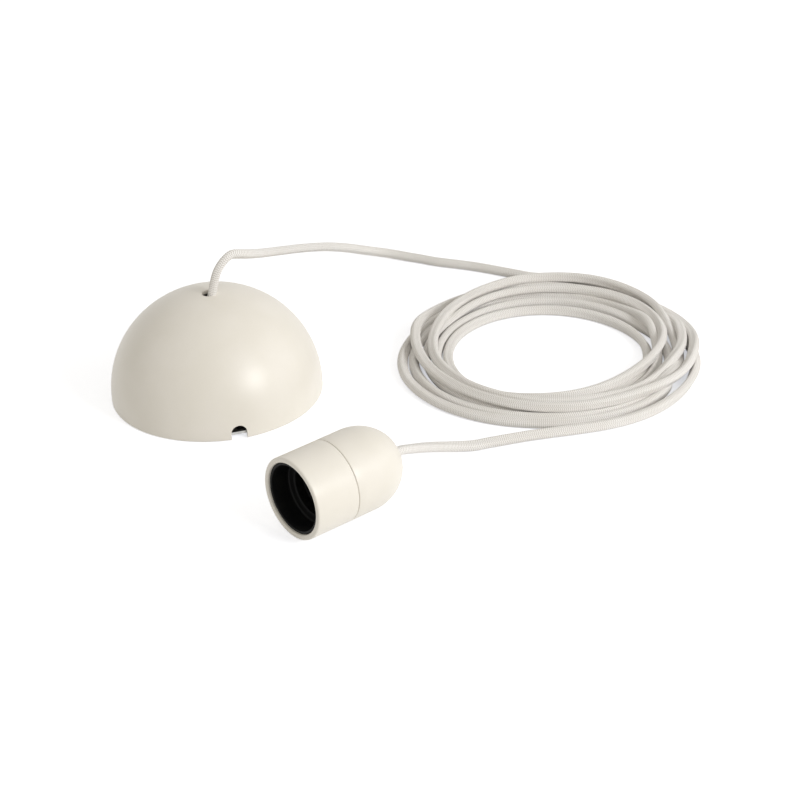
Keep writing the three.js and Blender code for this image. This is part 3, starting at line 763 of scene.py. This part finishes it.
def zincSteel(name):
    f = Finish(name)
    drawn = f.noise(*zincLook["drawn"], vector=f.stretched(zincLook["drawnStretch"]))
    cloud = f.noise(*zincLook["cloud"])
    light = zincLook["light"]
    dark = tuple(part * zincLook["dark"] for part in light)
    plain, byCloud, byDrawn = zincLook["roughness"]
    return f.feed({
        "Base Color": f.blend(f.level(cloud, *zincLook["span"]), light, dark),
        "Roughness": plain + cloud * byCloud + drawn * byDrawn,
        "Metallic": 1.0,
        "Normal": f.bump(drawn, *zincLook["bump"]),
    })


# The simple finishes: a cloud in the colour and the roughness, and a grain, or the cloud again, in the surface
cloudedLooks = {
    "black_plastic": {
        "cloud": (160, 5, 0.6), "span": (0.45, 0.75), "colours": ((0.003, 0.003, 0.003), (0.006, 0.006, 0.005)),
        "roughness": (0.42, 0.2), "grain": (1500, 2), "bump": (0.12, 0.00005), "rest": {"Specular IOR Level": 0.14},
    },
    "white_plastic": {
        "cloud": (80, 3), "span": (0.3, 0.7), "colours": ((0.80, 0.80, 0.78), (0.72, 0.72, 0.69)),
        "roughness": (0.42, 0.12), "grain": (1300, 2), "bump": (0.08, 0.00004), "rest": {},
    },
    "brass": {
        "cloud": (110, 4), "span": (0.35, 0.75), "colours": ((0.76, 0.56, 0.24), (0.60, 0.41, 0.17)),
        "roughness": (0.22, 0.2), "grain": (1800, 2), "bump": (0.06, 0.00003), "rest": {"Metallic": 1.0},
    },
    "brown_insulation": {
        "cloud": (120, 3), "span": (0.3, 0.7), "colours": ((0.20, 0.085, 0.035), (0.13, 0.05, 0.02)),
        "roughness": (0.32, 0.12), "grain": None, "bump": (0.06, 0.0001), "rest": {},
    },
    "blue_insulation": {
        "cloud": (120, 3), "span": (0.3, 0.7), "colours": ((0.05, 0.16, 0.42), (0.03, 0.10, 0.30)),
        "roughness": (0.32, 0.12), "grain": None, "bump": (0.06, 0.0001), "rest": {},
    },
}


def cloudedFinish(name):
    f, look = Finish(name), cloudedLooks[name]
    cloud = f.noise(*look["cloud"])
    grain = f.noise(*look["grain"]) if look["grain"] else cloud
    plain, byCloud = look["roughness"]
    return f.feed({
        "Base Color": f.blend(f.level(cloud, *look["span"]), *look["colours"]),
        "Roughness": plain + cloud * byCloud,
        "Normal": f.bump(grain, *look["bump"]),
        **look["rest"],
    })


finishes = {
    "cream": creamPlastic("cream_plastic"),
    "black": cloudedFinish("black_plastic"),
    "braid": textileBraid("textile_braid"),
    "steel": zincSteel("zinc_steel"),
    "brass": cloudedFinish("brass"),
    "white": cloudedFinish("white_plastic"),
    "brown": cloudedFinish("brown_insulation"),
    "blue": cloudedFinish("blue_insulation"),
}

for piece, finish in ((cordPiece, "braid"), (domePiece, "cream"), (sleevePiece, "cream"), (capPiece, "cream"),
                      (insertPiece, "black"), (threadPiece, "black")):
    dress(piece, finishes[finish])

nodeFinishes = {
    "cream": ("canopy_shell", "holder_sleeve", "holder_cap"),
    "black": ("lamp_insert",),
    "braid": ("cord_lead", "cord_coil"),
    "brass": ("terminal_tube", "centre_contact", "side_contact", "holder_terminal"),
    "white": ("canopy_clamp_jaw", "holder_clamp_jaw", "terminal_block", "contact_carrier"),
    "brown": ("canopy_wire_brown", "holder_wire_brown"),
    "blue": ("canopy_wire_blue", "holder_wire_blue"),
}
for name, node in nodes.items():
    chosen = "steel"
    for finish, starts in nodeFinishes.items():
        if name.startswith(starts) and "screw" not in name:
            chosen = finish
    dress(node, finishes[chosen])
    if not name.startswith("cord"):
        smoothByAngle(node, 30)
print("finishes made")


# Floor, lights and the world's plain light

studio = {  # in metres
    "floorSize": 8.0,
    "floorPlace": (0.07, -0.02, -0.0002),
    "floorColour": 0.85,
    "floorRoughness": 0.9,
    "floorGlow": (0.52, 0.53, 0.56),  # the part of the floor's white that no shadow touches; it lights nothing
    "world": 0.565,
    "worldTint": (1.0, 0.965, 0.89),
    "aim": (0.07, -0.02, 0.02),
    "key": {"place": (0.48, -2.15, 1.10), "size": 0.7, "power": 27.0},
    "fill": {"place": (2.15, -1.32, 1.20), "size": 1.6, "power": 8.0},
}


# 1 where the camera sees a thing itself, in a reflection or through another, and 0 for the light it casts
def seenDirectly(wiring):
    camera, glossy, through = (wiring.node("ShaderNodeLightPath", output=ray)
                               for ray in ("Is Camera Ray", "Is Glossy Ray", "Is Transmission Ray"))
    return wiring.calc("MAXIMUM", wiring.calc("MAXIMUM", camera, glossy), through)


def addFloor():
    deselectAll()
    bpy.ops.mesh.primitive_plane_add(size=studio["floorSize"], location=studio["floorPlace"])
    floor = bpy.context.active_object
    floor.name = "floor"
    bpy.ops.object.transform_apply(location=True)
    f = Finish("floor_white")
    floor.data.materials.append(f.feed({
        "Base Color": (studio["floorColour"],) * 3 + (1,),
        "Roughness": studio["floorRoughness"],
        "Specular IOR Level": 0.0,
        "Emission Strength": 1.0,
        "Emission Color": f.blend(seenDirectly(f), (0, 0, 0), studio["floorGlow"]),
    }))


def addWorld():
    world = bpy.data.worlds.new("plain_light")
    scene.world = world
    world.use_nodes = True
    wiring = Wiring(world.node_tree)
    light = tuple(part * studio["world"] for part in studio["worldTint"])
    colour = wiring.blend(seenDirectly(wiring), light, (1, 1, 1))
    wiring.tree.links.new(colour.out, wiring.tree.nodes["Background"].inputs["Color"])


def addLamp(name, place, size, power):
    data = bpy.data.lights.new(name, "AREA")
    data.size = size
    data.energy = power
    lamp = bpy.data.objects.new(name, data)
    scene.collection.objects.link(lamp)
    lamp.location = place
    aim = Vector(studio["aim"]) - Vector(place)
    lamp.rotation_euler = aim.to_track_quat("-Z", "Y").to_euler()


addFloor()
addWorld()
for name in ("key", "fill"):
    addLamp(name, studio[name]["place"], studio[name]["size"], studio[name]["power"])
scene.view_settings.view_transform = "Standard"
print("studio made")
